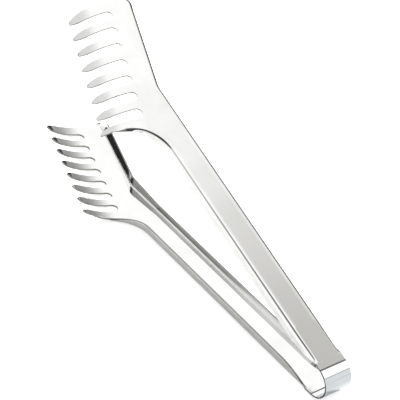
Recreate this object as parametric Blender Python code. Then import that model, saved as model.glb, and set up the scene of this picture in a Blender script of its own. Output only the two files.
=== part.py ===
"""Spaghetti tongs, open, lying on the lower arm.

Metres. The lower arm's outer face lies on Z = 0. X runs from the bow to the combs, the teeth point
towards +Y, and the tongs open towards +Z. X = 0 is a point on the handle where the lower arm rests.
"""
from math import atan2, cos, pi, radians, sin, tan

import bmesh
import bpy
from mathutils import Vector

# Sheet and handle
SHEET = 0.0008
STRIP_WIDTH = 0.0144
CHANNEL_WIDTH = 0.0148
FOLD_RADIUS = 0.0020
FRONT_FLANGE = 0.0046
BACK_FLANGE = 0.0040
PADDLE_FLANGE = 0.0056
PADDLE_FLANGE_RUN = 0.0200
FLANGE_FULL = 0.0220
REST_POINT = 0.0750
HANDLE_LENGTH = 0.1542

# Bow
BOW_RADIUS = 0.0085
BOW_TAB = 0.0030
OPENING = radians(18.8)
PIECE_GAP = 0.0003

# Paddle
CRANK_ANGLE = radians(16.3)
CRANK_RADIUS = 0.0120
PADDLE_SPLAY = radians(24.0)
PADDLE_STEPS = 6
CORNER_RADIUS = 0.0040
CORNER_LEAD = 0.0045
CORNER_FADE = 0.0107
THROAT_RADIUS = 0.0172
THROAT_LEAD = 0.0
THROAT_FADE = 0.0278

# Comb, placed from the handle's end
SLOT_REACH = 0.0433
SLOT_DEPTH = 0.0080
TEETH = 8
PITCH = 0.00932
COMB_ANGLE = radians(17.2)
TOOTH_WIDTH = 0.0043
TOOTH_LENGTH = 0.0216
TOOTH_LEAN = radians(8.0)
TOOTH_FAN = radians(3.2)
TIP_LENGTH = 0.0065
TIP_POINT = 1.35
END_MARGIN = 0.0017
END_FLARE = 0.0012
END_TIP_LENGTH = 0.0105
LAST_MARGIN = 0.0043
LAST_FLARE = -0.0013
LAST_TIP_LENGTH = 0.0055

# Curl of the teeth, also placed from the handle's end
CURL_REACH = 0.0208
CURL_DEPTH = 0.0034
CURL_RADIUS = 0.0340
CURL_ANGLE = radians(19.0)
CURL_STEP = 0.0020

# Fineness of the curves
STRIP_EASE = 1.5
FOLD_STEPS = 5
ARC_STEPS = 8
TIP_STEPS = 5
BOW_STEPS = 28
SMOOTH_ANGLE = radians(32)
NEAR = 1e-7

ARM_START = BOW_TAB + PIECE_GAP
HALF_WIDTH = CHANNEL_WIDTH / 2
HALF_STRIP = STRIP_WIDTH / 2
HALF_TOOTH = TOOTH_WIDTH / 2
FIRST_SLOT = Vector((HANDLE_LENGTH + SLOT_REACH, -SLOT_DEPTH))
CURL_START = Vector((HANDLE_LENGTH + CURL_REACH, -CURL_DEPTH))


def heading(angle):
    """Unit vector in the sheet's plane, turned anticlockwise from +X."""
    return Vector((cos(angle), sin(angle)))


def left_of(angle):
    return heading(angle + pi / 2)


def smooth(t):
    t = min(max(t, 0), 1)
    return t * t * (3 - 2 * t)


class Station:
    """One cross-section of a folded edge, at a point on the wall's line, partly or fully folded.

    grown runs from 0, a flat margin as wide as flat_width, to 1, a whole fold and flange.
    splay is how far the flange leans outwards from upright.
    """

    def __init__(self, point, outward, flange, grown=1.0, flat_width=FOLD_RADIUS, splay=0.0):
        self.point = point
        self.outward = outward
        self.flange = flange
        self.grown = grown
        self.flat_width = flat_width
        self.splay = splay

    def section(self):
        """Points from the start of the fold to the flange's edge, as (x, y, height)."""
        start = self.point - self.outward * FOLD_RADIUS
        wall = self.flange - FOLD_RADIUS
        bend = pi / 2 - self.splay
        length = FOLD_RADIUS * bend + wall
        folded = []
        for step in range(FOLD_STEPS + 1):
            turn = bend * step / FOLD_STEPS
            run = FOLD_RADIUS * turn / length
            folded.append((run, FOLD_RADIUS * sin(turn), FOLD_RADIUS * (1 - cos(turn))))
        _, across, height = folded[-1]
        folded.append((1, across + wall * cos(bend), height + wall * sin(bend)))
        points = []
        for run, across, height in folded:
            flat = self.flat_width * run
            place = start + self.outward * (flat + (across - flat) * self.grown)
            points.append((place.x, place.y, height * self.grown))
        return points


def handle_stations(side, flange):
    """Sections along the straight handle, where the flange grows out of the plain strip."""
    margin = HALF_STRIP - (HALF_WIDTH - FOLD_RADIUS)
    stations = []
    steps = 2 * ARC_STEPS
    run = FLANGE_FULL - ARM_START
    for step in range(steps + 1):
        share = (step / steps) ** STRIP_EASE
        place = Vector((ARM_START + run * share, side * HALF_WIDTH))
        stations.append(Station(place, Vector((0, side)), flange, 1 - (1 - share) ** 2, margin))
    return stations


def tooth(index):
    """Root point, heading and lean of one tooth, counted from the end of the paddle."""
    along = Vector((-cos(COMB_ANGLE), sin(COMB_ANGLE)))
    root = FIRST_SLOT + along * PITCH * (index - 0.5)
    lean = TOOTH_LEAN + TOOTH_FAN * index / (TEETH - 1)
    return root, heading(pi / 2 - lean), lean


def outer_edge(index, side, margin, flare, tip_length):
    """Where the comb's outermost edge starts beside a tooth's root, and its lean."""
    root, along, lean = tooth(index)
    aside = heading(-lean) * side
    start = root + aside * (HALF_TOOTH + margin)
    shoulder = root + along * (TOOTH_LENGTH - tip_length) + aside * (HALF_TOOTH + flare)
    run = shoulder - start
    return start, atan2(run.x, run.y)


def bend_and_fade(stations, centre, radius, headings, like, lead, fade):
    """Carry a flange like the one at a station round an arc between two headings and let it die away.

    It starts to die at lead before the arc and is gone when it has run the length fade. A positive
    radius turns round a centre on the sheet's side, a negative one round a centre off it.
    """
    first, last = headings
    side = 1 if radius > 0 else -1
    bend = abs(radius) * (last - first)
    past = max(fade - lead - bend, 0)
    travels = [bend * step / (2 * ARC_STEPS) for step in range(2 * ARC_STEPS + 1)]
    if lead > 0:
        travels = [lead * (step / ARC_STEPS - 1) for step in range(ARC_STEPS)] + travels
    if past > 0:
        travels += [bend + past * (step + 1) / ARC_STEPS for step in range(ARC_STEPS)]
    for travel in travels:
        on_arc = min(max(travel, 0), bend)
        angle = first + on_arc / abs(radius)
        outward = left_of(angle) * -side
        place = centre + outward * radius + heading(angle) * (travel - on_arc)
        faded = smooth((travel + lead) / fade)
        stations.append(Station(place, outward, like.flange, 1 - faded, splay=like.splay))


def back_stations():
    """The back edge: handle, crank, paddle with its flange leaning out more and more, and corner."""
    stations = handle_stations(-1, BACK_FLANGE)
    crank = Vector((HANDLE_LENGTH, -HALF_WIDTH))
    stations.append(Station(crank - Vector((PADDLE_FLANGE_RUN, 0)), Vector((0, -1)), BACK_FLANGE))
    reach = CRANK_RADIUS * tan(CRANK_ANGLE / 2)
    centre = crank + Vector((-reach, -CRANK_RADIUS))
    for step in range(ARC_STEPS + 1):
        inward = left_of(-CRANK_ANGLE * step / ARC_STEPS)
        stations.append(Station(centre + inward * CRANK_RADIUS, -inward, PADDLE_FLANGE))

    start, lean = outer_edge(0, 1, END_MARGIN, END_FLARE, END_TIP_LENGTH)
    down = heading(pi / 2 - lean)
    back = heading(-CRANK_ANGLE)
    outward = -left_of(-CRANK_ANGLE)
    gap = start - crank
    corner = crank + back * (gap.cross(down) / back.cross(down))
    sweep = pi / 2 - lean + CRANK_ANGLE
    bend_start = corner - back * (CORNER_RADIUS * tan(sweep / 2))
    paddle_start = stations[-1].point
    paddle_end = bend_start - back * CORNER_LEAD
    for step in range(1, PADDLE_STEPS):
        share = step / PADDLE_STEPS
        place = paddle_start.lerp(paddle_end, share)
        stations.append(Station(place, outward, PADDLE_FLANGE, splay=PADDLE_SPLAY * share))
    centre = bend_start - outward * CORNER_RADIUS
    headings = (-CRANK_ANGLE, pi / 2 - lean)
    last = Station(paddle_end, outward, PADDLE_FLANGE, splay=PADDLE_SPLAY)
    bend_and_fade(stations, centre, CORNER_RADIUS, headings, last, CORNER_LEAD, CORNER_FADE)
    return stations


def front_stations():
    """The front edge: handle, then the throat below the last tooth, where the flange dies away."""
    stations = handle_stations(1, FRONT_FLANGE)
    edge, lean = outer_edge(TEETH - 1, -1, LAST_MARGIN, LAST_FLARE, LAST_TIP_LENGTH)
    along = heading(pi / 2 - lean)
    aside = left_of(pi / 2 - lean)
    run = (HALF_WIDTH + THROAT_RADIUS - edge.y - aside.y * THROAT_RADIUS) / along.y
    centre = edge + along * run + aside * THROAT_RADIUS
    headings = (0, pi / 2 - lean)
    bend_and_fade(stations, centre, -THROAT_RADIUS, headings, stations[-1], THROAT_LEAD, THROAT_FADE)
    return stations


def comb_outline():
    """The cut edge of the comb, from the first tooth's outer side to the last tooth's."""
    points = []
    for index in range(TEETH):
        root, along, lean = tooth(index)
        aside = heading(-lean)
        for side in (1, -1):
            width, length = HALF_TOOTH, TIP_LENGTH
            if index == 0 and side == 1:
                width, length = HALF_TOOTH + END_FLARE, END_TIP_LENGTH
            if index == TEETH - 1 and side == -1:
                width, length = HALF_TOOTH + LAST_FLARE, LAST_TIP_LENGTH
            shoulder = root + along * (TOOTH_LENGTH - length)
            turns = [pi / 2 * step / TIP_STEPS for step in range(TIP_STEPS)]
            if side == -1:
                points.append(root + along * TOOTH_LENGTH)
                turns.reverse()
            for turn in turns:
                out = side * width * cos(turn) ** TIP_POINT
                points.append(shoulder + along * (length * sin(turn)) + aside * out)
        if index == TEETH - 1:
            break
        next_root, _, next_lean = tooth(index + 1)
        slot_lean = (lean + next_lean) / 2
        half_slot = PITCH / 2 * cos(COMB_ANGLE - slot_lean) - HALF_TOOTH
        down = heading(pi / 2 - slot_lean)
        aside = heading(-slot_lean)
        centre = (root + next_root) / 2 + down * half_slot
        for step in range(ARC_STEPS + 1):
            turn = pi * step / ARC_STEPS
            points.append(centre + aside * (half_slot * cos(turn)) - down * (half_slot * sin(turn)))
    return [(p.x, p.y, 0) for p in points]


def curl_frame():
    across = heading(-CURL_ANGLE)
    return Vector((-across.y, across.x))


def curl(point):
    """Carry a point of the flat sheet to its place on the curled comb, which is made of flat facets."""
    down = curl_frame()
    travel = (Vector(point[:2]) - CURL_START).dot(down)
    if travel <= 0:
        return Vector(point)
    turn = CURL_STEP / CURL_RADIUS
    done = int((travel + NEAR) / CURL_STEP)
    left = travel - done * CURL_STEP
    forward = sum(cos(turn * (k + 0.5)) for k in range(done)) * CURL_STEP
    up = sum(sin(turn * (k + 0.5)) for k in range(done)) * CURL_STEP
    forward += left * cos(turn * (done + 0.5))
    up += left * sin(turn * (done + 0.5))
    stretch = 1 / cos(turn / 2)
    share = left / CURL_STEP
    lean_back = -sin(turn * done) * (1 - share) - sin(turn * (done + 1)) * share
    lift = cos(turn * done) * (1 - share) + cos(turn * (done + 1)) * share
    forward += point[2] * lean_back * stretch
    up += point[2] * lift * stretch
    flat = Vector(point[:2]) + down * (forward - travel)
    return Vector((flat.x, flat.y, up))


def arm_mesh(name):
    """The arm's outer skin in its own frame: outer face at height 0, flanges and curl upwards."""
    mesh = bpy.data.meshes.new(name)
    shape = bmesh.new()
    sections = []
    for stations in (back_stations(), front_stations()):
        sections.append([[shape.verts.new(p) for p in station.section()] for station in stations])
    back, front = sections
    for side, rows in zip((1, -1), sections):
        for row, after in zip(rows, rows[1:]):
            for j in range(len(row) - 1):
                corners = [row[j], after[j], after[j + 1], row[j + 1]]
                shape.faces.new(corners[::side])
    comb = [shape.verts.new(p) for p in comb_outline()]
    edge = [row[0] for row in back] + back[-1][1:] + comb + front[-1][:0:-1]
    edge += [row[0] for row in front[::-1]]
    shape.faces.new(edge[::-1])
    start = CURL_START.to_3d()
    down = curl_frame().to_3d()
    reach = max((vert.co - start).dot(down) for vert in shape.verts)
    for step in range(int(reach / CURL_STEP) + 1):
        parts = shape.verts[:] + shape.edges[:] + shape.faces[:]
        place = start + down * (CURL_STEP * step)
        bmesh.ops.bisect_plane(shape, geom=parts, dist=NEAR, plane_co=place, plane_no=down)
    for vert in shape.verts:
        vert.co = curl(vert.co)
    bmesh.ops.recalc_face_normals(shape, faces=shape.faces)
    largest = max(shape.faces, key=lambda face: face.calc_area())
    if largest.normal.z > 0:
        bmesh.ops.reverse_faces(shape, faces=shape.faces)
    shape.to_mesh(mesh)
    shape.free()
    return mesh


def bow_mesh(name):
    """The bow's outer skin: lower tab, bend and upper tab, swept across the strip's width."""
    mesh = bpy.data.meshes.new(name)
    shape = bmesh.new()
    sweep = pi - OPENING
    profile = [Vector((BOW_TAB, 0))]
    for step in range(BOW_STEPS + 1):
        turn = pi / 2 + sweep * step / BOW_STEPS
        profile.append(Vector((BOW_RADIUS * cos(turn), BOW_RADIUS * (1 - sin(turn)))))
    profile.append(profile[-1] + heading(OPENING) * BOW_TAB)
    rows = [[shape.verts.new((p.x, side * HALF_STRIP, p.y)) for side in (-1, 1)] for p in profile]
    for row, after in zip(rows, rows[1:]):
        shape.faces.new((row[0], after[0], after[1], row[1]))
    bmesh.ops.recalc_face_normals(shape, faces=shape.faces)
    shape.faces.ensure_lookup_table()
    if shape.faces[0].normal.z > 0:
        bmesh.ops.reverse_faces(shape, faces=shape.faces)
    shape.to_mesh(mesh)
    shape.free()
    return mesh


def steel(name, colour, roughness):
    material = bpy.data.materials.new(name)
    material.use_nodes = True
    shader = material.node_tree.nodes["Principled BSDF"]
    shader.inputs["Base Color"].default_value = (*colour, 1)
    shader.inputs["Metallic"].default_value = 1
    shader.inputs["Roughness"].default_value = roughness
    return material


def sheet_piece(name, mesh, material):
    """Give a skin its sheet thickness, on the side away from its normals."""
    piece = bpy.data.objects.new(name, mesh)
    bpy.context.collection.objects.link(piece)
    mesh.materials.append(material)
    thick = piece.modifiers.new("sheet", "SOLIDIFY")
    thick.thickness = SHEET
    thick.offset = -1
    thick.use_even_offset = True
    mesh.shade_smooth()
    mesh.set_sharp_from_angle(angle=SMOOTH_ANGLE)
    return piece


for old in list(bpy.data.objects):
    bpy.data.objects.remove(old)

# Lower arm
satin_lower = steel("satin_steel_lower", (0.72, 0.72, 0.71), 0.28)
lower = sheet_piece("lower_arm", arm_mesh("lower_arm"), satin_lower)
lower.location.x = -REST_POINT

# Bow
polished = steel("polished_steel_bow", (0.76, 0.76, 0.76), 0.14)
bow = sheet_piece("spring_bow", bow_mesh("spring_bow"), polished)
bow.location.x = -REST_POINT

# Upper arm, the lower arm's mirror image, hung from the axis that the bow bends about
half_sweep = (pi - OPENING) / 2
bend_reach = (BOW_RADIUS - SHEET / 2) * sin(half_sweep) / half_sweep
hinge = Vector((0, BOW_RADIUS)) - heading(OPENING / 2) * bend_reach
pivot = bpy.data.objects.new("upper_arm_axis", None)
bpy.context.collection.objects.link(pivot)
pivot.location = (hinge.x - REST_POINT, 0, hinge.y)

upper_mesh = arm_mesh("upper_arm")
for vert in upper_mesh.vertices:
    vert.co.z = -vert.co.z
upper_mesh.flip_normals()
satin_upper = steel("satin_steel_upper", (0.72, 0.72, 0.71), 0.28)
upper = sheet_piece("upper_arm", upper_mesh, satin_upper)
upper.parent = pivot
junction = Vector((0, BOW_RADIUS)) + left_of(OPENING) * BOW_RADIUS
upper.location = (junction.x - hinge.x, 0, junction.y - hinge.y)
upper.rotation_euler.y = -OPENING
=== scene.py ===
from math import atan2, cos, pi, radians, sin, tan

import bmesh
import bpy
from mathutils import Matrix, Vector


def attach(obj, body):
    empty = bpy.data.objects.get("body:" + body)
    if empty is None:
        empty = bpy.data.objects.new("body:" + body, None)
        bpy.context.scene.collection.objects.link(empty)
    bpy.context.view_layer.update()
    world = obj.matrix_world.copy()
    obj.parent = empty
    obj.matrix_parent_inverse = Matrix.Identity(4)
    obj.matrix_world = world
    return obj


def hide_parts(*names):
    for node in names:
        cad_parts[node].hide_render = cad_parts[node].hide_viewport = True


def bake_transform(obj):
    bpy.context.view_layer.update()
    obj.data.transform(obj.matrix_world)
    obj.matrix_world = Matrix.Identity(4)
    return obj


# Spaghetti tongs: two channel arms with curled combs, joined by a springy bow, all of stainless sheet.
# X runs from the bow to the combs, the teeth point to +Y, and the lower arm lies on Z = 0.

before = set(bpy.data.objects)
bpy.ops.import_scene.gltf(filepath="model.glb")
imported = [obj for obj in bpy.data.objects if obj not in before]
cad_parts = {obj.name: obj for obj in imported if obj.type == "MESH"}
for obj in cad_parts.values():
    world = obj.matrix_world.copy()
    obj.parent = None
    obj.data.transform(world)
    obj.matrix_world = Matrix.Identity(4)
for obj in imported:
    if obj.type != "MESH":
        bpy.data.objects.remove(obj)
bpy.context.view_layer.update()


def hexColour(code, level=1):
    channels = [int(code[i:i + 2], 16) / 255 for i in (1, 3, 5)]
    linear = [c / 12.92 if c <= 0.04045 else ((c + 0.055) / 1.055) ** 2.4 for c in channels]
    return (*[level * c for c in linear], 1)


def addNode(tree, kind, inputs=None, **settings):
    # a Mix node has its numbers at inputs 2 and 3 and outputs[0], and its colours at 6 and 7 and outputs[2]
    node = tree.nodes.new(kind)
    for name, value in settings.items():
        setattr(node, name, value)
    for name, value in (inputs or {}).items():
        if isinstance(value, bpy.types.NodeSocket):
            tree.links.new(value, node.inputs[name])
        else:
            node.inputs[name].default_value = value
    return node


def heading(angle):
    return Vector((cos(angle), sin(angle)))


def leftOf(angle):
    return heading(angle + pi / 2)


def ease(t):
    t = min(max(t, 0), 1)
    return t * t * (3 - 2 * t)


def addPiece(name, mesh, materials):
    piece = bpy.data.objects.new(name, mesh)
    bpy.context.scene.collection.objects.link(piece)
    for material in materials:
        mesh.materials.append(material)
    return piece


def bakeModifiers(piece):
    # the finished shape as a plain mesh, with its shading normals
    flat = bpy.data.meshes.new_from_object(piece.evaluated_get(bpy.context.evaluated_depsgraph_get()))
    flat.name = piece.name
    piece.modifiers.clear()
    piece.data = flat


# 18/10 stainless sheet with a fine satin finish: a soft, slightly streaked shine along the arm,
# faint smudges from handling, and broad shallow waves where the press has pulled the sheet
satin = {
    "steel": "#ebebea",
    "dull": "#e1e1df",
    "grainAcross": 0.00045,          # real grit lines are near 0.05 mm; drawn coarser so they show
    "grainAlong": 0.014,
    "grainDepth": 0.0000035,
    "grainShare": 0.5,               # how much the grain counts beside the smudges
    "smudge": 0.018,
    "smudgeRange": (0.35, 0.7),
    "wave": 0.034,
    "waveDepth": 0.00012,
    "markRange": (0.1, 1.4),         # the least and most marked places
    "roughnessRange": (0.85, 1.25),  # and how rough they are beside the plain finish
}
# the edge of the sheet where the shears cut it, tumbled smooth: greyer and duller than the faces, partly as
# rougher steel and partly as painted shade for the dark outlines along the cut edges, with fine cross marks
cutEdgeAndShade = {
    "steel": "#a19f9b",
    "dull": "#767470",
    "roughness": 0.30,
    "roughnessSpread": 0.08,
    "marks": 0.0009,
}
# the bow's cut edges are left as the shears made them and carry painted shade for their dark outline, so they
# are darker than the arms' tumbled ones
rawEdgeAndShade = {"steel": "#6d6b68", "dull": "#4a4846"}


def startSteel(name):
    material = bpy.data.materials.new(name)
    material.use_nodes = True
    tree = material.node_tree
    place = addNode(tree, "ShaderNodeTexCoord").outputs["Object"]
    return material, tree, place


def finishSteel(tree, colour, rough):
    shader = tree.nodes["Principled BSDF"]
    shader.inputs["Metallic"].default_value = 1
    tree.links.new(colour.outputs[2], shader.inputs["Base Color"])
    tree.links.new(rough.outputs["Result"], shader.inputs["Roughness"])
    return shader


def satinSteel(name, turn, roughness, colours=satin):
    material, tree, place = startSteel(name)
    along = addNode(tree, "ShaderNodeMapping", {"Vector": place, "Rotation": (0, turn, 0)}).outputs["Vector"]
    stretch = (1 / satin["grainAlong"], 1 / satin["grainAcross"], 1 / satin["grainAcross"])
    grainSpace = addNode(tree, "ShaderNodeMapping", {"Vector": along, "Scale": stretch}).outputs["Vector"]
    grain = addNode(tree, "ShaderNodeTexNoise", {
        "Vector": grainSpace, "Scale": 1.0, "Detail": 3.0, "Roughness": 0.6}).outputs["Fac"]
    smudge = addNode(tree, "ShaderNodeTexNoise", {
        "Vector": along, "Scale": 1 / satin["smudge"], "Detail": 3.0}).outputs["Fac"]
    wave = addNode(tree, "ShaderNodeTexNoise", {
        "Vector": along, "Scale": 1 / satin["wave"], "Detail": 0.0}).outputs["Fac"]
    least, most = satin["smudgeRange"]
    smudges = addNode(tree, "ShaderNodeMapRange", {"Value": smudge, "From Min": least, "From Max": most})
    both = addNode(tree, "ShaderNodeMath", {
        0: grain, 1: satin["grainShare"], 2: smudges.outputs["Result"]}, operation="MULTIPLY_ADD")
    marks = both.outputs["Value"]
    least, most = satin["markRange"]
    blend = addNode(tree, "ShaderNodeMapRange", {"Value": marks, "From Min": least, "From Max": most})
    colour = addNode(tree, "ShaderNodeMix", {
        0: blend.outputs["Result"], 6: hexColour(colours["steel"]), 7: hexColour(colours["dull"])},
        data_type="RGBA")
    smoother, rougher = satin["roughnessRange"]
    rough = addNode(tree, "ShaderNodeMapRange", {
        "Value": marks, "From Min": least, "From Max": most,
        "To Min": roughness * smoother, "To Max": roughness * rougher})
    waves = addNode(tree, "ShaderNodeBump", {"Height": wave, "Strength": 1.0, "Distance": satin["waveDepth"]})
    lines = addNode(tree, "ShaderNodeBump", {
        "Height": grain, "Strength": 1.0, "Distance": satin["grainDepth"], "Normal": waves.outputs["Normal"]})
    shader = finishSteel(tree, colour, rough)
    tree.links.new(lines.outputs["Normal"], shader.inputs["Normal"])
    return material


def shearedSteel(name, colours):
    material, tree, place = startSteel(name)
    marks = addNode(tree, "ShaderNodeTexNoise", {
        "Vector": place, "Scale": 1 / cutEdgeAndShade["marks"], "Detail": 2.0}).outputs["Fac"]
    colour = addNode(tree, "ShaderNodeMix", {
        0: marks, 6: hexColour(colours["steel"]), 7: hexColour(colours["dull"])}, data_type="RGBA")
    spread = cutEdgeAndShade["roughnessSpread"]
    rough = addNode(tree, "ShaderNodeMapRange", {
        "Value": marks, "To Min": cutEdgeAndShade["roughness"] - spread, "To Max": cutEdgeAndShade["roughness"] + spread})
    finishSteel(tree, colour, rough)
    return material


# the sheet of one arm, laid out flat from the bow's end, with its folded edges
arm = {
    "sheet": 0.0008,
    "stripWidth": 0.0144,
    "channelWidth": 0.0148,
    "frontFlange": 0.0046,
    "backFlange": 0.0040,
    "paddleFlange": 0.0056,   # it leans out more and more towards the corner
    "paddleFlangeRun": 0.0200,
    "start": 0.0033,
    "flangeFull": 0.0220,
    "handleLength": 0.1542,
    "crankAngle": radians(16.3),
    "crankRadius": 0.0120,
    "cornerRadius": 0.0040,
    "cornerLead": 0.0045,
    "cornerFade": 0.0107,
    "throatRadius": 0.0172,
    "throatLead": 0.0,
    "throatFade": 0.0278,
    "foldSteps": 9,
    "arcSteps": 16,
    "paddleSteps": 12,
    "face": 0.0025,           # size of the face's cells
    "faceLength": 0.22,       # what the cells cover along the arm
    "cellsAside": 20,         # and how many there are to each side
    "sharpAngle": radians(50),
    "edgeSoftness": 0.00014,
}
# The lower arm shows its inside, where the folds look tighter and the sheet has kept more of the mill's
# shine. Its paddle's flange leans out less, so that it reaches as far as with the wider fold.
eachArm = {
    "lower_arm": {"foldRadius": 0.0014, "paddleSplay": radians(19.0), "roughness": 0.035},
    "upper_arm": {"foldRadius": 0.0020, "paddleSplay": radians(24.0), "roughness": 0.15},
}
comb = {
    "teeth": 8,
    "pitch": 0.00932,
    "angle": radians(17.2),
    "firstSlot": Vector((arm["handleLength"] + 0.0433, -0.0080)),
    "toothWidth": 0.0043,
    "toothLength": 0.0216,
    "lean": radians(8.0),
    "fan": radians(3.2),
    "tipLength": 0.0065,
    "tipPoint": 1.35,
    "endMargin": 0.0017,      # the first tooth's outer side is fuller, and so is the last one's root
    "endFlare": 0.0012,
    "endTipLength": 0.0105,
    "lastMargin": 0.0043,
    "lastFlare": -0.0013,
    "lastTipLength": 0.0055,
    "tipSteps": 10,
    "curlRadius": 0.0340,
    "curlStart": Vector((arm["handleLength"] + 0.0208, -0.0034)),
    "curlAngle": radians(19.0),
    "curlRun": 0.064,
    "curlStep": 0.0010,
}


def foldSection(point, outward, flange, grown=1.0, margin=None, splay=0.0):
    # from the start of the fold to the flange's edge; grown 0 is a flat margin, 1 the whole fold
    radius = arm["foldRadius"]
    margin = radius if margin is None else margin
    start = point - outward * radius
    wall = flange - radius
    bend = pi / 2 - splay
    length = radius * bend + wall
    folded = []
    for step in range(arm["foldSteps"] + 1):
        turn = bend * step / arm["foldSteps"]
        folded.append((radius * turn / length, radius * sin(turn), radius * (1 - cos(turn))))
    _, across, height = folded[-1]
    folded.append((1, across + wall * cos(bend), height + wall * sin(bend)))
    section = []
    for run, across, height in folded:
        place = start + outward * (margin * run + (across - margin * run) * grown)
        section.append(Vector((place.x, place.y, height * grown)))
    return section


def handleEdge(side, flange):
    # the flange grows out of the flat strip, in steps that are finer near the bow
    half = arm["channelWidth"] / 2
    margin = arm["stripWidth"] / 2 - (half - arm["foldRadius"])
    steps = 2 * arm["arcSteps"]
    rows = []
    for step in range(steps + 1):
        share = (step / steps) ** 1.5
        point = Vector((arm["start"] + (arm["flangeFull"] - arm["start"]) * share, side * half))
        rows.append(foldSection(point, Vector((0, side)), flange, 1 - (1 - share) ** 2, margin))
    return rows


def roundAndFade(rows, centre, radius, first, last, flange, lead, fade, splay=0.0):
    # the flange goes round an arc, starts to die at lead before it and is gone after the length fade;
    # a negative radius turns round a centre off the sheet
    side = 1 if radius > 0 else -1
    bend = abs(radius) * (last - first)
    past = max(fade - lead - bend, 0)
    steps = arm["arcSteps"]
    travels = [bend * step / (2 * steps) for step in range(2 * steps + 1)]
    if lead > 0:
        travels = [lead * (step / steps - 1) for step in range(steps)] + travels
    if past > 0:
        travels += [bend + past * (step + 1) / steps for step in range(steps)]
    for travel in travels:
        onArc = min(max(travel, 0), bend)
        angle = first + onArc / abs(radius)
        outward = leftOf(angle) * -side
        point = centre + outward * radius + heading(angle) * (travel - onArc)
        rows.append(foldSection(point, outward, flange, 1 - ease((travel + lead) / fade), splay=splay))


def tooth(index):
    along = Vector((-cos(comb["angle"]), sin(comb["angle"])))
    root = comb["firstSlot"] + along * comb["pitch"] * (index - 0.5)
    lean = comb["lean"] + comb["fan"] * index / (comb["teeth"] - 1)
    return root, heading(pi / 2 - lean), lean


def combSide(index, side, margin, flare, tipLength):
    root, along, lean = tooth(index)
    aside = heading(-lean) * side
    half = comb["toothWidth"] / 2
    start = root + aside * (half + margin)
    run = root + along * (comb["toothLength"] - tipLength) + aside * (half + flare) - start
    return start, atan2(run.x, run.y)


def backEdge():
    half = arm["channelWidth"] / 2
    rows = handleEdge(-1, arm["backFlange"])
    crank = Vector((arm["handleLength"], -half))
    rows.append(foldSection(crank - Vector((arm["paddleFlangeRun"], 0)), Vector((0, -1)), arm["backFlange"]))
    angle, radius = arm["crankAngle"], arm["crankRadius"]
    centre = crank + Vector((-radius * tan(angle / 2), -radius))
    for step in range(arm["arcSteps"] + 1):
        inward = leftOf(-angle * step / arm["arcSteps"])
        rows.append(foldSection(centre + inward * radius, -inward, arm["paddleFlange"]))
    paddleStart = centre + inward * radius
    start, lean = combSide(0, 1, comb["endMargin"], comb["endFlare"], comb["endTipLength"])
    down = heading(pi / 2 - lean)
    back = heading(-angle)
    outward = -leftOf(-angle)
    corner = crank + back * ((start - crank).cross(down) / back.cross(down))
    radius = arm["cornerRadius"]
    bendStart = corner - back * (radius * tan((pi / 2 - lean + angle) / 2))
    paddleEnd = bendStart - back * arm["cornerLead"]
    for step in range(1, arm["paddleSteps"]):
        share = step / arm["paddleSteps"]
        point = paddleStart.lerp(paddleEnd, share)
        rows.append(foldSection(point, outward, arm["paddleFlange"], splay=arm["paddleSplay"] * share))
    centre = bendStart - outward * radius
    roundAndFade(rows, centre, radius, -angle, pi / 2 - lean, arm["paddleFlange"],
                 arm["cornerLead"], arm["cornerFade"], arm["paddleSplay"])
    return rows


def frontEdge():
    rows = handleEdge(1, arm["frontFlange"])
    last = comb["teeth"] - 1
    edge, lean = combSide(last, -1, comb["lastMargin"], comb["lastFlare"], comb["lastTipLength"])
    along = heading(pi / 2 - lean)
    aside = leftOf(pi / 2 - lean)
    radius = arm["throatRadius"]
    run = (arm["channelWidth"] / 2 + radius - edge.y - aside.y * radius) / along.y
    centre = edge + along * run + aside * radius
    roundAndFade(rows, centre, -radius, 0, pi / 2 - lean, arm["frontFlange"],
                 arm["throatLead"], arm["throatFade"])
    return rows


def combEdge():
    # the cut outline of the comb, from the first tooth's outer side to the last tooth's
    half = comb["toothWidth"] / 2
    points = []
    for index in range(comb["teeth"]):
        root, along, lean = tooth(index)
        aside = heading(-lean)
        for side in (1, -1):
            width, length = half, comb["tipLength"]
            if index == 0 and side == 1:
                width, length = half + comb["endFlare"], comb["endTipLength"]
            if index == comb["teeth"] - 1 and side == -1:
                width, length = half + comb["lastFlare"], comb["lastTipLength"]
            shoulder = root + along * (comb["toothLength"] - length)
            turns = [pi / 2 * step / comb["tipSteps"] for step in range(comb["tipSteps"])]
            if side == -1:
                points.append(root + along * comb["toothLength"])
                turns.reverse()
            for turn in turns:
                out = side * width * cos(turn) ** comb["tipPoint"]
                points.append(shoulder + along * (length * sin(turn)) + aside * out)
        if index < comb["teeth"] - 1:
            nextRoot, _, nextLean = tooth(index + 1)
            slotLean = (lean + nextLean) / 2
            halfSlot = comb["pitch"] / 2 * cos(comb["angle"] - slotLean) - half
            down = heading(pi / 2 - slotLean)
            aside = heading(-slotLean)
            centre = (root + nextRoot) / 2 + down * halfSlot
            for step in range(arm["arcSteps"] + 1):
                turn = pi * step / arm["arcSteps"]
                points.append(centre + aside * (halfSlot * cos(turn)) - down * (halfSlot * sin(turn)))
    return [p.to_3d() for p in points]


def curl(point):
    down = leftOf(-comb["curlAngle"])
    travel = (point.xy - comb["curlStart"]).dot(down)
    if travel <= 0:
        return point
    turn = travel / comb["curlRadius"]
    reach = (comb["curlRadius"] - point.z) * sin(turn)
    flat = point.xy + down * (reach - travel)
    return Vector((flat.x, flat.y, comb["curlRadius"] - (comb["curlRadius"] - point.z) * cos(turn)))


def cutAcross(shape, parts, place, normal):
    return bmesh.ops.bisect_plane(shape, geom=parts, dist=1e-6, plane_co=place, plane_no=normal)["geom"]


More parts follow.
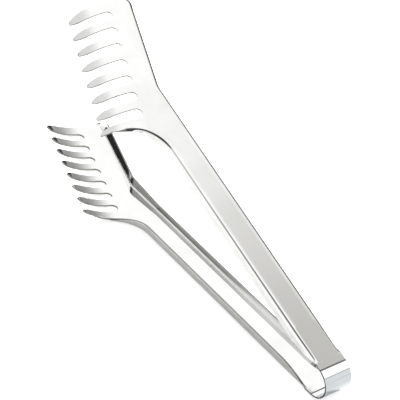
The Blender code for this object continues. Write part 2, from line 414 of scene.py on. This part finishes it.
def armSkin():
    shape = bmesh.new()
    edges = [[[shape.verts.new(p) for p in row] for row in rows] for rows in (backEdge(), frontEdge())]
    for side, rows in zip((1, -1), edges):
        for row, after in zip(rows, rows[1:]):
            for j in range(len(row) - 1):
                shape.faces.new([row[j], after[j], after[j + 1], row[j + 1]][::side])
    back, front = edges
    cut = [shape.verts.new(p) for p in combEdge()]
    outline = [row[0] for row in back] + back[-1][1:] + cut + front[-1][:0:-1]
    outline += [row[0] for row in front[::-1]]
    face = shape.faces.new(outline[::-1])

    # cells on the face, then finer rows across the curl so that it bends evenly
    parts = [face] + list(face.edges) + list(face.verts)
    for k in range(1, int(arm["faceLength"] / arm["face"])):
        parts = cutAcross(shape, parts, (k * arm["face"], 0, 0), (1, 0, 0))
    for k in range(-arm["cellsAside"], arm["cellsAside"] + 1):
        parts = cutAcross(shape, parts, (0, (k + 0.5) * arm["face"], 0), (0, 1, 0))
    down = leftOf(-comb["curlAngle"]).to_3d()
    for k in range(int(comb["curlRun"] / comb["curlStep"])):
        parts = shape.verts[:] + shape.edges[:] + shape.faces[:]
        cutAcross(shape, parts, comb["curlStart"].to_3d() + down * (comb["curlStep"] * k), down)
    for vert in shape.verts:
        vert.co = curl(vert.co)

    # the skin looks outwards, down on the handle, so that the sheet gets its thickness on the inside
    bmesh.ops.recalc_face_normals(shape, faces=shape.faces)
    onHandle = Vector((0.1, 0, 0))
    nearest = min(shape.faces, key=lambda f: (f.calc_center_median() - onHandle).length)
    if nearest.normal.z > 0:
        bmesh.ops.reverse_faces(shape, faces=shape.faces)
    mesh = bpy.data.meshes.new("armSkin")
    shape.to_mesh(mesh)
    shape.free()
    return mesh


def softenEdges(mesh, place, flipped):
    # rounds the cut edges a little, all but the end that meets the bow, and puts the arm in its place
    shape = bmesh.new()
    shape.from_mesh(mesh)
    sharp = []
    for edge in shape.edges:
        bent = len(edge.link_faces) == 2 and edge.calc_face_angle() > arm["sharpAngle"]
        if bent and max(vert.co.x for vert in edge.verts) > arm["start"] + 1e-5:
            sharp.append(edge)
    bmesh.ops.bevel(shape, geom=sharp, offset=arm["edgeSoftness"], offset_type="OFFSET", segments=2,
                    profile=0.5, affect="EDGES", clamp_overlap=True, material=-1)
    bmesh.ops.transform(shape, matrix=place, verts=shape.verts)
    if flipped:
        bmesh.ops.reverse_faces(shape, faces=shape.faces)
    for face in shape.faces:
        face.smooth = True
    for edge in shape.edges:
        edge.smooth = len(edge.link_faces) != 2 or edge.calc_face_angle() < arm["sharpAngle"]
    shape.to_mesh(mesh)
    shape.free()


# the bow was polished as it was drawn round its bend: clearer reflections than the arms', a little bluer
bow = {
    "radius": 0.0085,
    "tab": 0.0033,
    "opening": radians(18.8),
    "steps": 96,
    "edgeSoftness": 0.00038,
    "edgeSteps": 3,
    "restPoint": 0.0750,
    "satinRun": 0.0,          # the arms' satin goes this far round the bend
    "seam": 0.0006,           # and then comes a fine dark scored line
    "creaseAngle": 0.9,       # radians; the strip's ends are shaded as flat cuts
    "cutFacing": 0.3,         # a face that looks more sideways than this is cut edge
    "roughness": 0.08,
    "steel": "#e3e6e8",
    "dull": "#d9dcde",
}

radius, opening = bow["radius"], bow["opening"]
junction = Vector((-radius * sin(opening) - bow["restPoint"], 0, radius * (1 + cos(opening))))
swung = Matrix.Translation(junction) @ Matrix.Rotation(-opening, 4, "Y")
places = {
    "lower_arm": (Matrix.Translation((-bow["restPoint"], 0, 0)), False),
    "upper_arm": (swung @ Matrix.Scale(-1, 4, (0, 0, 1)), True),
}
# the arms' cut edges: duller steel, darkened further with painted shade
edgeSteelAndShade = shearedSteel("tumbled_cut_edge_steel_and_painted_shade", cutEdgeAndShade)
for name, (place, flipped) in places.items():
    arm.update(eachArm[name])
    finish = satinSteel("satin_steel_" + name, opening if flipped else 0, arm["roughness"])
    piece = addPiece(name + "_sheet", armSkin(), [finish, edgeSteelAndShade])
    thick = piece.modifiers.new("sheet", "SOLIDIFY")
    thick.thickness = arm["sheet"]
    thick.offset = -1
    thick.use_even_offset = True
    thick.material_offset_rim = 1
    bakeModifiers(piece)
    softenEdges(piece.data, place, flipped)
    even = piece.modifiers.new("shading", "WEIGHTED_NORMAL")
    even.keep_sharp = True
    bakeModifiers(piece)
    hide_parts(name)
    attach(piece, name)
    print(name, "made:", len(piece.data.polygons), "faces")


# the bow is the plain strip swept along its bend
def bowTree():
    tree = bpy.data.node_groups.new("bentStrip", "GeometryNodeTree")
    kinds = {
        "Bow radius": "Float",
        "Sweep": "Float",
        "Tab length": "Float",
        "Sheet": "Float",
        "Strip width": "Float",
        "Edge softness": "Float",
        "Steps": "Int",
        "Rest point": "Float",
        "Finish": "Material",
        "Cut edge": "Material",
        "Satin": "Material",
        "Satin run": "Float",
        "Seam": "Float",
    }
    tree.interface.new_socket("Geometry", in_out="OUTPUT", socket_type="NodeSocketGeometry")
    for name, kind in kinds.items():
        tree.interface.new_socket(name, in_out="INPUT", socket_type="NodeSocket" + kind)
    given = addNode(tree, "NodeGroupInput").outputs

    # the line the strip follows: a tab, the bend and a tab that swings round with it
    middle = addNode(tree, "ShaderNodeMath", {
        0: given["Sheet"], 1: -0.5, 2: given["Bow radius"]}, operation="MULTIPLY_ADD").outputs["Value"]
    back = addNode(tree, "ShaderNodeMath", {
        0: given["Tab length"], 1: -1.0}, operation="MULTIPLY").outputs["Value"]
    bend = addNode(tree, "GeometryNodeCurveArc", {
        "Resolution": given["Steps"], "Radius": middle, "Start Angle": pi / 2, "Sweep Angle": given["Sweep"]},
        mode="RADIUS")
    corner = addNode(tree, "ShaderNodeCombineXYZ", {"Y": middle}).outputs[0]
    lowerEnd = addNode(tree, "ShaderNodeCombineXYZ", {"X": given["Tab length"], "Y": middle}).outputs[0]
    upperEnd = addNode(tree, "ShaderNodeCombineXYZ", {"X": back, "Y": middle}).outputs[0]
    lowerTab = addNode(tree, "GeometryNodeCurvePrimitiveLine", {"Start": corner, "End": lowerEnd}).outputs[0]
    upperTab = addNode(tree, "GeometryNodeCurvePrimitiveLine", {"Start": corner, "End": upperEnd}).outputs[0]
    turn = addNode(tree, "ShaderNodeCombineXYZ", {"Z": given["Sweep"]}).outputs[0]
    turnedTab = addNode(tree, "GeometryNodeTransform", {"Geometry": upperTab, "Rotation": turn}).outputs[0]
    lines = addNode(tree, "GeometryNodeJoinGeometry")
    for part in (lowerTab, bend.outputs["Curve"], turnedTab):
        wire = addNode(tree, "GeometryNodeCurveToMesh", {"Curve": part})
        tree.links.new(wire.outputs[0], lines.inputs[0])
    whole = addNode(tree, "GeometryNodeMergeByDistance", {"Geometry": lines.outputs[0], "Distance": 1e-6})
    path = addNode(tree, "GeometryNodeMeshToCurve", {"Mesh": whole.outputs[0]})
    upright = addNode(tree, "GeometryNodeSetCurveNormal", {"Curve": path.outputs[0]}, mode="Z_UP")

    # the strip itself, stood in its place, with its ends shaded apart from its faces
    section = addNode(tree, "GeometryNodeCurvePrimitiveQuadrilateral", {
        "Width": given["Sheet"], "Height": given["Strip width"]}, mode="RECTANGLE")
    rounded = addNode(tree, "GeometryNodeFilletCurve", {
        "Curve": section.outputs[0], "Radius": given["Edge softness"], "Count": bow["edgeSteps"]},
        mode="POLY")
    swept = addNode(tree, "GeometryNodeCurveToMesh", {
        "Curve": upright.outputs[0], "Profile Curve": rounded.outputs[0], "Fill Caps": True})
    beside = addNode(tree, "ShaderNodeMath", {
        0: given["Rest point"], 1: -1.0}, operation="MULTIPLY").outputs["Value"]
    centre = addNode(tree, "ShaderNodeCombineXYZ", {"X": beside, "Z": given["Bow radius"]}).outputs[0]
    stood = addNode(tree, "GeometryNodeTransform", {
        "Geometry": swept.outputs[0], "Translation": centre, "Rotation": (-pi / 2, 0, 0)})
    smooth = addNode(tree, "GeometryNodeSetShadeSmooth", {"Geometry": stood.outputs[0]})
    fold = addNode(tree, "GeometryNodeInputMeshEdgeAngle").outputs["Unsigned Angle"]
    isEnd = addNode(tree, "ShaderNodeMath", {0: fold, 1: bow["creaseAngle"]}, operation="GREATER_THAN")
    creased = addNode(tree, "GeometryNodeSetShadeSmooth", {
        "Geometry": smooth.outputs[0], "Selection": isEnd.outputs[0], "Shade Smooth": False}, domain="EDGE")
    plain = addNode(tree, "GeometryNodeRealizeInstances", {"Geometry": creased.outputs[0]})
    coated = addNode(tree, "GeometryNodeSetMaterial", {
        "Geometry": plain.outputs[0], "Material": given["Finish"]})

    # how far each face is out along its own tab, below 0 when it is round the bend
    spot = addNode(tree, "GeometryNodeInputPosition").outputs[0]
    centred = addNode(tree, "ShaderNodeVectorMath", {0: spot, 1: centre}, operation="SUBTRACT").outputs[0]
    rise = addNode(tree, "ShaderNodeMath", {0: pi, 1: given["Sweep"]}, operation="SUBTRACT").outputs[0]
    upward = addNode(tree, "ShaderNodeMath", {0: rise}, operation="SINE").outputs[0]
    forward = addNode(tree, "ShaderNodeMath", {0: rise}, operation="COSINE").outputs[0]
    alongUpper = addNode(tree, "ShaderNodeCombineXYZ", {"X": forward, "Z": upward}).outputs[0]
    upperRun, lowerRun = [
        addNode(tree, "ShaderNodeVectorMath", {0: centred, 1: way}, operation="DOT_PRODUCT").outputs["Value"]
        for way in (alongUpper, (1.0, 0.0, 0.0))]
    height = addNode(tree, "ShaderNodeSeparateXYZ", {0: centred}).outputs["Z"]
    isUpper = addNode(tree, "ShaderNodeMath", {0: height, 1: 0.0}, operation="GREATER_THAN")
    run = addNode(tree, "ShaderNodeMix", {
        0: isUpper.outputs[0], 2: lowerRun, 3: upperRun}, data_type="FLOAT").outputs[0]

    # the scored line and then the satin over it at both ends, and the cut edges along the strip
    scored = addNode(tree, "ShaderNodeMath", {0: given["Satin run"], 1: given["Seam"]}, operation="ADD")
    for limit, finish in ((scored.outputs[0], "Cut edge"), (given["Satin run"], "Satin")):
        below = addNode(tree, "ShaderNodeMath", {0: limit, 1: -1.0}, operation="MULTIPLY")
        before = addNode(tree, "ShaderNodeMath", {0: run, 1: below.outputs[0]}, operation="GREATER_THAN")
        coated = addNode(tree, "GeometryNodeSetMaterial", {
            "Geometry": coated.outputs[0], "Selection": before.outputs[0], "Material": given[finish]})
    facing = addNode(tree, "GeometryNodeInputNormal").outputs[0]
    facingAside = addNode(tree, "ShaderNodeSeparateXYZ", {0: facing}).outputs["Y"]
    sideways = addNode(tree, "ShaderNodeMath", {0: facingAside}, operation="ABSOLUTE").outputs[0]
    isCut = addNode(tree, "ShaderNodeMath", {0: sideways, 1: bow["cutFacing"]}, operation="GREATER_THAN")
    edged = addNode(tree, "GeometryNodeSetMaterial", {
        "Geometry": coated.outputs[0], "Selection": isCut.outputs[0], "Material": given["Cut edge"]})
    addNode(tree, "NodeGroupOutput", {"Geometry": edged.outputs[0]})
    return tree


polished = satinSteel("polished_steel_bow", 0, bow["roughness"], bow)
# dark sheared steel with painted shade for the bow's cut edges and the dark line where the bend starts
rawShearedAndShaded = shearedSteel("raw_cut_edge_steel_and_painted_shade", rawEdgeAndShade)
satinBow = satinSteel("satin_steel_bow_ends", opening, eachArm["upper_arm"]["roughness"])
tree = bowTree()
bowPiece = addPiece("spring_bow_strip", bpy.data.meshes.new("bow"), [polished, rawShearedAndShaded, satinBow])
bend = bowPiece.modifiers.new("bend", "NODES")
bend.node_group = tree
values = {
    "Bow radius": radius,
    "Sweep": pi - opening,
    "Tab length": bow["tab"],
    "Sheet": arm["sheet"],
    "Strip width": arm["stripWidth"],
    "Edge softness": bow["edgeSoftness"],
    "Steps": bow["steps"],
    "Rest point": bow["restPoint"],
    "Finish": polished,
    "Cut edge": rawShearedAndShaded,
    "Satin": satinBow,
    "Satin run": bow["satinRun"],
    "Seam": bow["seam"],
}
for socket in tree.interface.items_tree:
    if socket.in_out == "INPUT":
        bend[socket.identifier] = values[socket.name]
even = bowPiece.modifiers.new("shading", "WEIGHTED_NORMAL")
even.keep_sharp = True
bakeModifiers(bowPiece)
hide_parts("spring_bow")
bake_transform(bowPiece)
print("bow made:", len(bowPiece.data.polygons), "faces")


# a white table with a dark patch of painted shade behind the tongs, which only the steel's reflections see;
# the camera sees the table as white, with a soft shadow on it
studio = {
    "tableSize": 4.0,
    "tableDrop": 0.00005,     # keeps the table just under the lower arm
    "table": "#f6f6f5",
    # painted shade on the table, which only the steel's reflections see
    "reflectedShade": "#2c2c2c",
    "reflectedShadeStart": -0.045,       # the painted shade begins here along X
    "reflectedShadeStartFade": 0.02,
    "reflectedShadeEdge": 0.045,         # and this far behind the tongs
    "reflectedShadeEdgeFade": 0.008,
    "greyStart": -0.080,      # beyond the bow the table has a little painted shade, seen only in reflections
    "greyFade": 0.015,
    "grey": 0.32,
    "lift": 0.50,             # share of the white that no shadow takes away
    "tent": 1.25,             # brightness of the white walls that the steel mirrors
    "key": Vector((0.45, -0.50, 0.56)),
    "keySize": 0.30,
    "keyPower": 8.5,
}

floorShape = bmesh.new()
bmesh.ops.create_grid(floorShape, x_segments=1, y_segments=1, size=studio["tableSize"] / 2)
floorMesh = bpy.data.meshes.new("floor")
floorShape.to_mesh(floorMesh)
floorShape.free()
floorMesh.transform(Matrix.Translation((0, 0, -studio["tableDrop"])))
tableWhite = bpy.data.materials.new("matt_white_table")
tableWhite.use_nodes = True
tree = tableWhite.node_tree
tree.nodes.clear()
ray = addNode(tree, "ShaderNodeLightPath")
spot = addNode(tree, "ShaderNodeTexCoord").outputs["Object"]
axes = addNode(tree, "ShaderNodeSeparateXYZ", {0: spot}).outputs
# the table's painted shade, seen only in reflections: a dark patch behind the tongs and grey past the bow
fades = {
    "beyond": ("X", studio["reflectedShadeStart"], studio["reflectedShadeStart"] + studio["reflectedShadeStartFade"], 1.0),
    "behind": ("Y", -studio["reflectedShadeEdge"], -studio["reflectedShadeEdge"] - studio["reflectedShadeEdgeFade"], 1.0),
    "pastBow": ("X", studio["greyStart"], studio["greyStart"] - studio["greyFade"], studio["grey"]),
}
dark = {}
for name, (axis, start, end, most) in fades.items():
    dark[name] = addNode(tree, "ShaderNodeMapRange", {
        "Value": axes[axis], "From Min": start, "From Max": end, "To Max": most},
        interpolation_type="SMOOTHSTEP", label=name).outputs[0]
inReflectedShade = addNode(tree, "ShaderNodeMath", {0: dark["beyond"], 1: dark["behind"]}, operation="MULTIPLY")
darker = addNode(tree, "ShaderNodeMath", {0: inReflectedShade.outputs[0], 1: dark["pastBow"]}, operation="MAXIMUM")
colour = addNode(tree, "ShaderNodeMix", {
    0: darker.outputs[0], 6: hexColour(studio["table"]), 7: hexColour(studio["reflectedShade"])}, data_type="RGBA")
table = addNode(tree, "ShaderNodeBsdfDiffuse", {"Color": colour.outputs[2]})
matt = addNode(tree, "ShaderNodeBsdfDiffuse", {"Color": hexColour(studio["table"])})
glow = addNode(tree, "ShaderNodeEmission", {"Color": hexColour("#ffffff"), "Strength": studio["lift"]})
both = addNode(tree, "ShaderNodeAddShader", {0: matt.outputs[0], 1: glow.outputs[0]})
pick = addNode(tree, "ShaderNodeMixShader", {
    0: ray.outputs["Is Camera Ray"], 1: table.outputs[0], 2: both.outputs[0]})
addNode(tree, "ShaderNodeOutputMaterial", {"Surface": pick.outputs[0]})
floor = addPiece("floor", floorMesh, [tableWhite])

# the room that the steel reflects: white tent walls, with darker parts and one bright strip
# direction, full size and faded size in degrees, colour, brightness
walls = {
    "darkRoomBehind": ((0.05, -0.98, 0.10), 12, 48, "#ffffff", 0.14),
    "cardBesideTheCombs": ((0.675, 0.46, 0.575), 9, 10.5, "#ffffff", 0.01),
    "secondCard": ((0.82, 0.28, 0.49), 12, 14, "#ffffff", 0.03),
    "photographer": ((-0.42, 0.44, 0.79), 25, 38, "#ffffff", 0.06),
    "dimCeiling": ((0.42, 0.40, 0.81), 4, 23, "#ffffff", 0.86),
    "greyOverTheBow": ((-0.07, -0.54, 0.84), 2, 12.5, "#fffdf8", 0.56),
    "stripBehindTheBow": ((-0.45, -0.54, 0.71), 15, 19, "#ffffff", 1.9),
    "edgeOfTheTent": ((-0.85, -0.50, 0.0), 27.5, 29, "#ffffff", 0.30),
    "coolWall": ((-0.85, -0.50, 0.0), 24.5, 26, "#f2f6f7", 1.00),
}
world = bpy.data.worlds.new("tent")
bpy.context.scene.world = world
world.use_nodes = True
tree = world.node_tree
tree.nodes.clear()
look = addNode(tree, "ShaderNodeTexCoord").outputs["Generated"]
shade = addNode(tree, "ShaderNodeRGB").outputs[0]
shade.default_value = hexColour("#ffffff", studio["tent"])
for name, (way, full, faded, code, level) in walls.items():
    near = addNode(tree, "ShaderNodeVectorMath", {
        0: look, 1: Vector(way).normalized()}, operation="DOT_PRODUCT", label=name)
    inside = addNode(tree, "ShaderNodeMapRange", {
        "Value": near.outputs["Value"], "From Min": cos(radians(faded)), "From Max": cos(radians(full))},
        interpolation_type="SMOOTHSTEP")
    shade = addNode(tree, "ShaderNodeMix", {
        0: inside.outputs["Result"], 6: shade, 7: hexColour(code, level)}, data_type="RGBA").outputs[2]
ray = addNode(tree, "ShaderNodeLightPath")
tent = addNode(tree, "ShaderNodeBackground", {"Color": shade, "Strength": 1.0})
plainWhite = addNode(tree, "ShaderNodeBackground", {"Color": hexColour("#ffffff"), "Strength": 1.0})
pick = addNode(tree, "ShaderNodeMixShader", {
    0: ray.outputs["Is Camera Ray"], 1: tent.outputs[0], 2: plainWhite.outputs[0]})
addNode(tree, "ShaderNodeOutputWorld", {"Surface": pick.outputs[0]})

# a soft lamp for the table and its shadow, which the steel doesn't mirror
softbox = bpy.data.lights.new("softbox", "AREA")
softbox.size = studio["keySize"]
softbox.energy = studio["keyPower"]
lamp = bpy.data.objects.new("softbox", softbox)
bpy.context.scene.collection.objects.link(lamp)
lamp.location = studio["key"]
lamp.rotation_euler = (-studio["key"]).to_track_quat("-Z", "Y").to_euler()
lamp.visible_glossy = False

# the camera looks down on the tongs from the bow's end, from over the front edges
view = {
    "sensor": 36,
    "lens": 179.745,
    "nearest": 0.01,
    "place": (-0.50652, 0.46259, 0.58560),
    "turns": (51.6483, -6.3171, -126.2476),   # degrees
}
lens = bpy.data.cameras.new("camera")
lens.sensor_width = view["sensor"]
lens.lens = view["lens"]
lens.clip_start = view["nearest"]
camera = bpy.data.objects.new("camera", lens)
bpy.context.scene.collection.objects.link(camera)
camera.location = view["place"]
camera.rotation_euler = [radians(turn) for turn in view["turns"]]
bpy.context.scene.camera = camera
bpy.context.scene.view_settings.view_transform = "Standard"
print("studio set")
